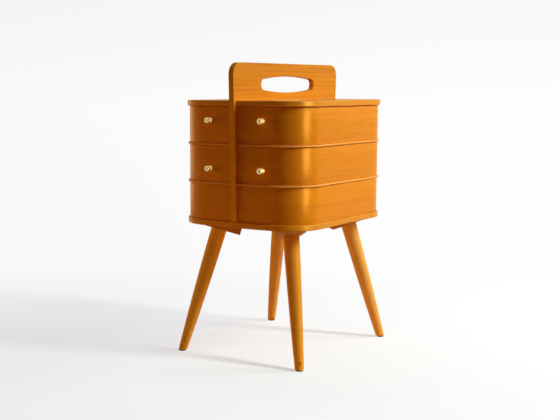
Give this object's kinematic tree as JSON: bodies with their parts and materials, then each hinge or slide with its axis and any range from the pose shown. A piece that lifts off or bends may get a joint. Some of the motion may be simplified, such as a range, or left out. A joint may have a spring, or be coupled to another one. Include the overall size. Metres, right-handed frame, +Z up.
{
  "type": "sewing box",
  "caption": "Free-standing wooden sewing box on splayed legs, with a carrying board and trays that swing out on each side.",
  "frame": {"origin": "on the floor, at the centre of the object's plan", "axes": "+Z up; the knobs and the front edge of the handle board face -Y; +X to the right seen from the front"},
  "size_m": [0.3068, 0.412, 0.6013],
  "materials": {
    "shell_veneer": "satin lacquer",
    "plate_wood": "satin lacquer",
    "board_wood": "satin lacquer",
    "edge_wood": "satin lacquer",
    "leg_wood": "satin lacquer",
    "block_wood": "raw and thinly lacquered",
    "pale_inner_wood": "matt",
    "polished_brass": "polished",
    "brass_washer": "plain",
    "screw_steel": "zinc plated",
    "rod_steel": "bright drawn",
    "foot_glide": "matt"
  },
  "bodies": {
    "root": {"base_plate": "plate_wood", "block_screws": "screw_steel", "board_screws": "screw_steel", "foot_glide_front_left": "foot_glide", "foot_glide_front_right": "foot_glide", "foot_glide_rear_left": "foot_glide", "foot_glide_rear_right": "foot_glide", "handle_board": "board_wood", "leg_block_front_left": "block_wood", "leg_block_front_right": "block_wood", "leg_block_rear_left": "block_wood", "leg_block_rear_right": "block_wood", "leg_front_left": "leg_wood", "leg_front_right": "leg_wood", "leg_rear_left": "leg_wood", "leg_rear_right": "leg_wood", "leg_studs": "screw_steel", "lid_dowels": "pale_inner_wood", "lid_left": "plate_wood", "lid_right": "plate_wood", "lower_pivot_block_left": "pale_inner_wood", "lower_pivot_block_right": "pale_inner_wood", "lower_shell_left": "shell_veneer", "lower_shell_right": "shell_veneer", "pivot_rod_left": "rod_steel", "pivot_rod_right": "rod_steel", "pivot_washers": "brass_washer"},
    "middle_tray_right": {"middle_tray_bottom_right": "edge_wood", "middle_tray_divider_right": "pale_inner_wood", "middle_tray_inner_wall_right": "pale_inner_wood", "middle_tray_knob_right": "polished_brass", "middle_tray_knob_screw_right": "screw_steel", "middle_tray_pivot_block_right": "pale_inner_wood", "middle_tray_shell_right": "shell_veneer"},
    "middle_tray_left": {"middle_tray_bottom_left": "edge_wood", "middle_tray_divider_left": "pale_inner_wood", "middle_tray_inner_wall_left": "pale_inner_wood", "middle_tray_knob_left": "polished_brass", "middle_tray_knob_screw_left": "screw_steel", "middle_tray_pivot_block_left": "pale_inner_wood", "middle_tray_shell_left": "shell_veneer"},
    "top_tray_right": {"top_tray_bottom_right": "edge_wood", "top_tray_front_divider_right": "pale_inner_wood", "top_tray_inner_wall_right": "pale_inner_wood", "top_tray_knob_right": "polished_brass", "top_tray_knob_screw_right": "screw_steel", "top_tray_pivot_block_right": "pale_inner_wood", "top_tray_rear_divider_right": "pale_inner_wood", "top_tray_shell_right": "shell_veneer"},
    "top_tray_left": {"top_tray_bottom_left": "edge_wood", "top_tray_front_divider_left": "pale_inner_wood", "top_tray_inner_wall_left": "pale_inner_wood", "top_tray_knob_left": "polished_brass", "top_tray_knob_screw_left": "screw_steel", "top_tray_pivot_block_left": "pale_inner_wood", "top_tray_rear_divider_left": "pale_inner_wood", "top_tray_shell_left": "shell_veneer"}
  },
  "joints": [
    {"name": "middle_tray_right_swing", "type": "hinge", "parent": "root", "child": "middle_tray_right", "pos_m": [0.0231, 0.178, 0.3983], "axis": [0, 0, 1], "range_deg": [0, 90]},
    {"name": "middle_tray_left_swing", "type": "hinge", "parent": "root", "child": "middle_tray_left", "pos_m": [-0.0231, 0.178, 0.3983], "axis": [0, 0, -1], "range_deg": [0, 90]},
    {"name": "top_tray_right_swing", "type": "hinge", "parent": "root", "child": "top_tray_right", "pos_m": [0.0231, 0.178, 0.4761], "axis": [0, 0, 1], "range_deg": [0, 90]},
    {"name": "top_tray_left_swing", "type": "hinge", "parent": "root", "child": "top_tray_left", "pos_m": [-0.0231, 0.178, 0.4761], "axis": [0, 0, -1], "range_deg": [0, 90]}
  ]
}
